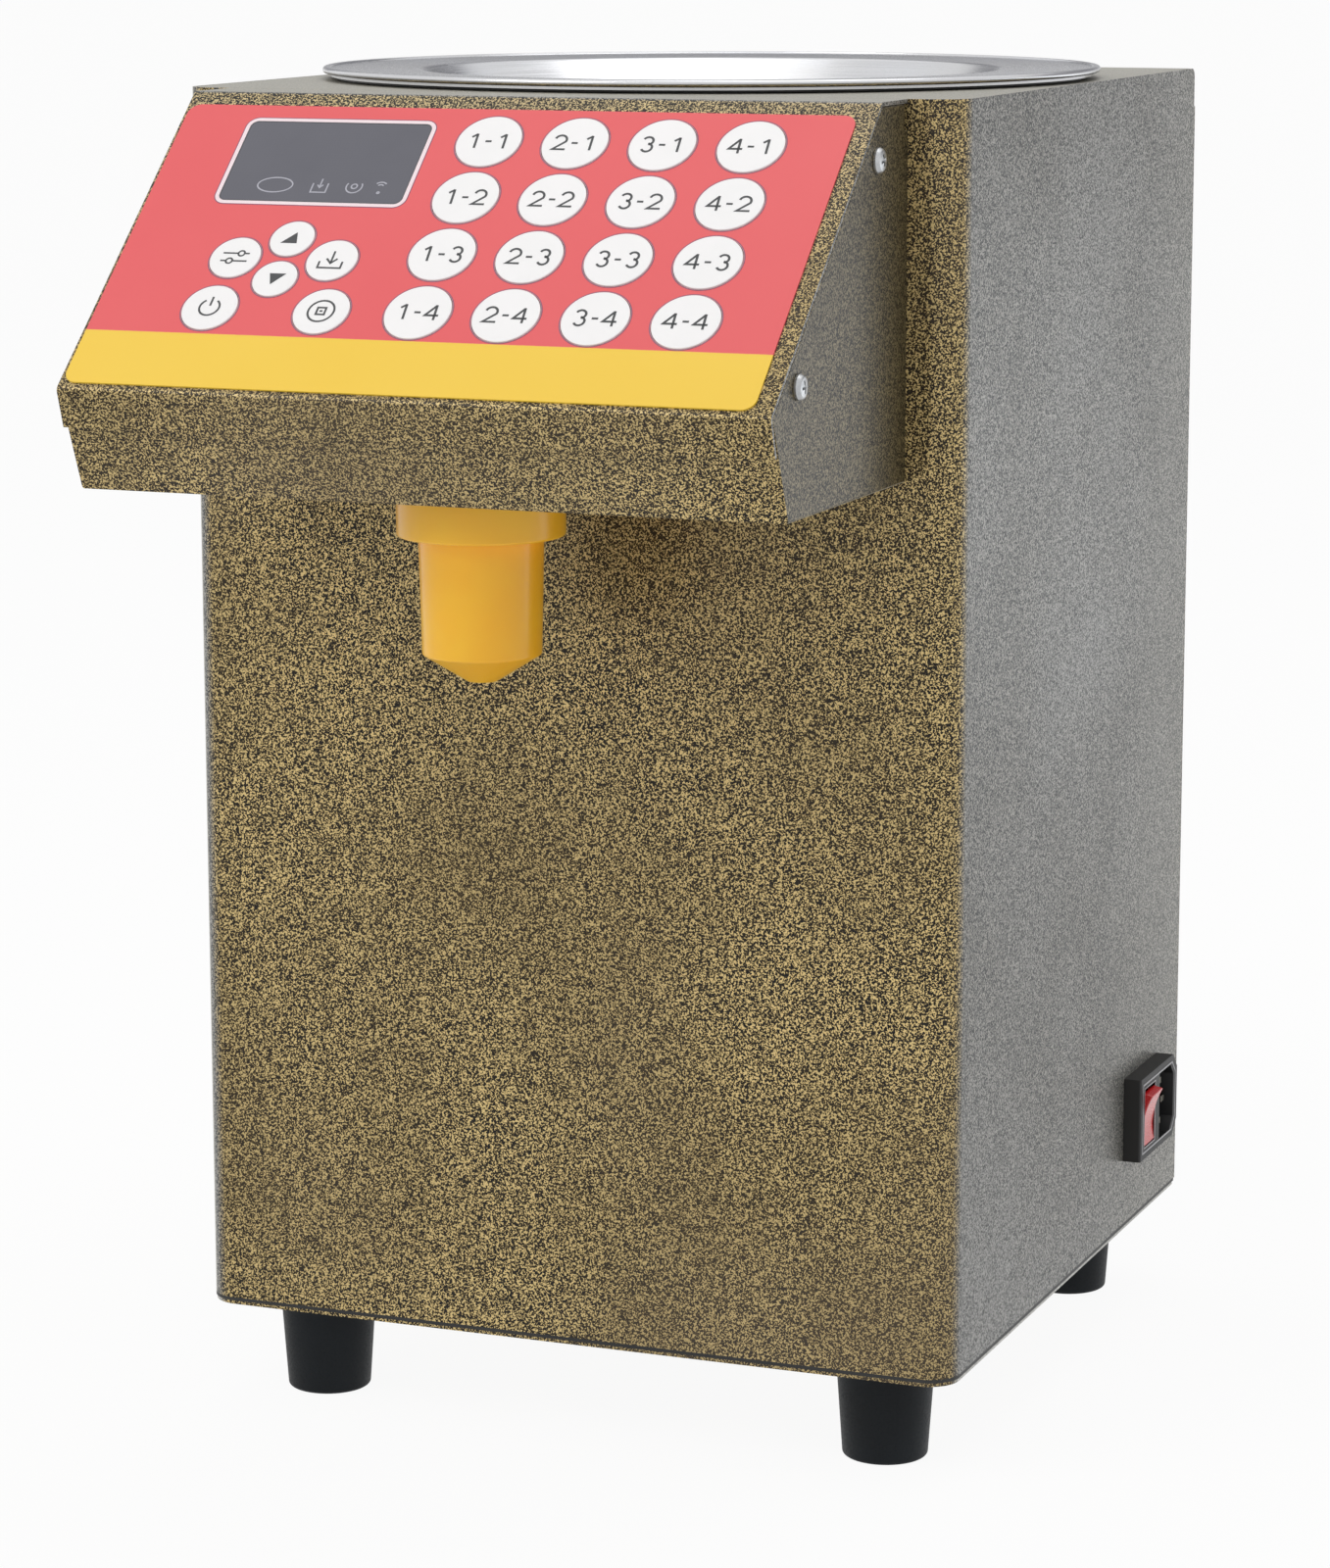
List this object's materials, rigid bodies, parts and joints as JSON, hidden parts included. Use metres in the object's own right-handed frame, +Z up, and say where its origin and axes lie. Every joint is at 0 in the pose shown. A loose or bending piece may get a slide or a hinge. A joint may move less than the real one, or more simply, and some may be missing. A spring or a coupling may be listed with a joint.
{
  "type": "fructose dispenser",
  "caption": "Counter-top syrup dispenser: folded steel case on feet, lidded tank, gear pump, and a sloping keypad head with a nozzle over the cup's place.",
  "frame": {"origin": "the middle of the four feet, on the surface that they stand on", "axes": "+Z up, +X to the right of the person who faces the keypad, -Y towards that person"},
  "size_m": [0.2584, 0.362, 0.42],
  "materials": {
    "hammertone_paint": "hammered bronze-gold enamel, semi-gloss",
    "overlay_film": "printed polyester film, red with a yellow band",
    "smoked_window": "smoked acrylic",
    "display_glass": "liquid-crystal module",
    "circuit_board": "green solder mask",
    "switch_plastic": "moulded black",
    "key_plastic": "moulded white",
    "stainless": "spun and polished",
    "zinc_steel": "zinc plated",
    "motor_paint": "black enamel",
    "supply_case": "folded and pierced",
    "foot_rubber": "moulded matt",
    "seal_rubber": "food-grade silicone",
    "hose_rubber": "clear food-grade tube",
    "cable_jacket": "grey jacket",
    "nozzle_plastic": "moulded orange-yellow",
    "inlet_plastic": "moulded black",
    "rocker_plastic": "moulded red",
    "inlet_brass": "plated blades"
  },
  "bodies": {
    "case": {"base_plate": "hammertone_paint", "body_shell": "hammertone_paint", "top_plate": "hammertone_paint", "rear_cover": "hammertone_paint", "head_tray": "hammertone_paint", "head_cover": "hammertone_paint", "control_overlay": "overlay_film", "display_window": "smoked_window", "display_module": "display_glass", "key_board": "circuit_board", "control_board": "circuit_board", "key_switches": "switch_plastic", "syrup_tank": "stainless", "tank_rim": "stainless", "tank_bottom": "stainless", "pump_housing": "stainless", "pump_cover": "stainless", "nozzle_stem": "stainless", "valve_spring": "stainless", "foot_bolts": "zinc_steel", "case_screws": "zinc_steel", "pump_bracket": "zinc_steel", "board_standoffs": "zinc_steel", "pump_motor": "motor_paint", "power_supply": "supply_case", "rubber_feet": "foot_rubber", "tank_gasket": "seal_rubber", "syrup_hoses": "hose_rubber", "control_cable": "cable_jacket", "nozzle_collar": "nozzle_plastic", "nozzle_cup": "nozzle_plastic", "inlet_housing": "inlet_plastic", "inlet_pins": "inlet_brass"},
    "dose_key_1_1": {"dose_key_1_1": "key_plastic"},
    "dose_key_2_1": {"dose_key_2_1": "key_plastic"},
    "dose_key_3_1": {"dose_key_3_1": "key_plastic"},
    "dose_key_4_1": {"dose_key_4_1": "key_plastic"},
    "dose_key_1_2": {"dose_key_1_2": "key_plastic"},
    "dose_key_2_2": {"dose_key_2_2": "key_plastic"},
    "dose_key_3_2": {"dose_key_3_2": "key_plastic"},
    "dose_key_4_2": {"dose_key_4_2": "key_plastic"},
    "dose_key_1_3": {"dose_key_1_3": "key_plastic"},
    "dose_key_2_3": {"dose_key_2_3": "key_plastic"},
    "dose_key_3_3": {"dose_key_3_3": "key_plastic"},
    "dose_key_4_3": {"dose_key_4_3": "key_plastic"},
    "dose_key_1_4": {"dose_key_1_4": "key_plastic"},
    "dose_key_2_4": {"dose_key_2_4": "key_plastic"},
    "dose_key_3_4": {"dose_key_3_4": "key_plastic"},
    "dose_key_4_4": {"dose_key_4_4": "key_plastic"},
    "key_up": {"key_up": "key_plastic"},
    "key_down": {"key_down": "key_plastic"},
    "key_set": {"key_set": "key_plastic"},
    "key_store": {"key_store": "key_plastic"},
    "key_power": {"key_power": "key_plastic"},
    "key_stop": {"key_stop": "key_plastic"},
    "tank_lid": {"tank_lid": "stainless"},
    "drip_valve": {"drip_valve": "stainless"},
    "drive_gear": {"drive_gear": "stainless"},
    "driven_gear": {"driven_gear": "stainless"},
    "power_rocker": {"power_rocker": "rocker_plastic"}
  },
  "joints": [
    {"name": "dose_key_1_1_press", "type": "slide", "parent": "case", "child": "dose_key_1_1", "axis": [0, 0.6678, -0.7443], "range_m": [0, 0.0004], "stiffness_N_per_m": 2500},
    {"name": "dose_key_2_1_press", "type": "slide", "parent": "case", "child": "dose_key_2_1", "axis": [0, 0.6678, -0.7443], "range_m": [0, 0.0004], "stiffness_N_per_m": 2500},
    {"name": "dose_key_3_1_press", "type": "slide", "parent": "case", "child": "dose_key_3_1", "axis": [0, 0.6678, -0.7443], "range_m": [0, 0.0004], "stiffness_N_per_m": 2500},
    {"name": "dose_key_4_1_press", "type": "slide", "parent": "case", "child": "dose_key_4_1", "axis": [0, 0.6678, -0.7443], "range_m": [0, 0.0004], "stiffness_N_per_m": 2500},
    {"name": "dose_key_1_2_press", "type": "slide", "parent": "case", "child": "dose_key_1_2", "axis": [0, 0.6678, -0.7443], "range_m": [0, 0.0004], "stiffness_N_per_m": 2500},
    {"name": "dose_key_2_2_press", "type": "slide", "parent": "case", "child": "dose_key_2_2", "axis": [0, 0.6678, -0.7443], "range_m": [0, 0.0004], "stiffness_N_per_m": 2500},
    {"name": "dose_key_3_2_press", "type": "slide", "parent": "case", "child": "dose_key_3_2", "axis": [0, 0.6678, -0.7443], "range_m": [0, 0.0004], "stiffness_N_per_m": 2500},
    {"name": "dose_key_4_2_press", "type": "slide", "parent": "case", "child": "dose_key_4_2", "axis": [0, 0.6678, -0.7443], "range_m": [0, 0.0004], "stiffness_N_per_m": 2500},
    {"name": "dose_key_1_3_press", "type": "slide", "parent": "case", "child": "dose_key_1_3", "axis": [0, 0.6678, -0.7443], "range_m": [0, 0.0004], "stiffness_N_per_m": 2500},
    {"name": "dose_key_2_3_press", "type": "slide", "parent": "case", "child": "dose_key_2_3", "axis": [0, 0.6678, -0.7443], "range_m": [0, 0.0004], "stiffness_N_per_m": 2500},
    {"name": "dose_key_3_3_press", "type": "slide", "parent": "case", "child": "dose_key_3_3", "axis": [0, 0.6678, -0.7443], "range_m": [0, 0.0004], "stiffness_N_per_m": 2500},
    {"name": "dose_key_4_3_press", "type": "slide", "parent": "case", "child": "dose_key_4_3", "axis": [0, 0.6678, -0.7443], "range_m": [0, 0.0004], "stiffness_N_per_m": 2500},
    {"name": "dose_key_1_4_press", "type": "slide", "parent": "case", "child": "dose_key_1_4", "axis": [0, 0.6678, -0.7443], "range_m": [0, 0.0004], "stiffness_N_per_m": 2500},
    {"name": "dose_key_2_4_press", "type": "slide", "parent": "case", "child": "dose_key_2_4", "axis": [0, 0.6678, -0.7443], "range_m": [0, 0.0004], "stiffness_N_per_m": 2500},
    {"name": "dose_key_3_4_press", "type": "slide", "parent": "case", "child": "dose_key_3_4", "axis": [0, 0.6678, -0.7443], "range_m": [0, 0.0004], "stiffness_N_per_m": 2500},
    {"name": "dose_key_4_4_press", "type": "slide", "parent": "case", "child": "dose_key_4_4", "axis": [0, 0.6678, -0.7443], "range_m": [0, 0.0004], "stiffness_N_per_m": 2500},
    {"name": "key_up_press", "type": "slide", "parent": "case", "child": "key_up", "axis": [0, 0.6678, -0.7443], "range_m": [0, 0.0004], "stiffness_N_per_m": 2500},
    {"name": "key_down_press", "type": "slide", "parent": "case", "child": "key_down", "axis": [0, 0.6678, -0.7443], "range_m": [0, 0.0004], "stiffness_N_per_m": 2500},
    {"name": "key_set_press", "type": "slide", "parent": "case", "child": "key_set", "axis": [0, 0.6678, -0.7443], "range_m": [0, 0.0004], "stiffness_N_per_m": 2500},
    {"name": "key_store_press", "type": "slide", "parent": "case", "child": "key_store", "axis": [0, 0.6678, -0.7443], "range_m": [0, 0.0004], "stiffness_N_per_m": 2500},
    {"name": "key_power_press", "type": "slide", "parent": "case", "child": "key_power", "axis": [0, 0.6678, -0.7443], "range_m": [0, 0.0004], "stiffness_N_per_m": 2500},
    {"name": "key_stop_press", "type": "slide", "parent": "case", "child": "key_stop", "axis": [0, 0.6678, -0.7443], "range_m": [0, 0.0004], "stiffness_N_per_m": 2500},
    {"name": "lid_lift", "type": "slide", "parent": "case", "child": "tank_lid", "axis": [0, 0, 1], "range_m": [0, 0.15]},
    {"name": "power_switch", "type": "hinge", "parent": "case", "child": "power_rocker", "pos_m": [0.1266, 0.0695, 0.0705], "axis": [0, 1, 0], "range_deg": [-18, 0]},
    {"name": "drive_gear_spin", "type": "hinge", "parent": "case", "child": "drive_gear", "pos_m": [-0.012, 0, 0.085], "axis": [0, 1, 0], "continuous": true},
    {"name": "driven_gear_spin", "type": "hinge", "parent": "case", "child": "driven_gear", "pos_m": [0.012, 0, 0.085], "axis": [0, 1, 0], "continuous": true},
    {"name": "drip_valve_open", "type": "slide", "parent": "case", "child": "drip_valve", "axis": [0, 0, -1], "range_m": [0, 0.003], "stiffness_N_per_m": 300, "springref_m": -0.002, "deforming": ["valve_spring"]}
  ],
  "couplings": [
    {"joint": "driven_gear_spin", "follows": "drive_gear_spin", "ratio": -1}
  ]
}
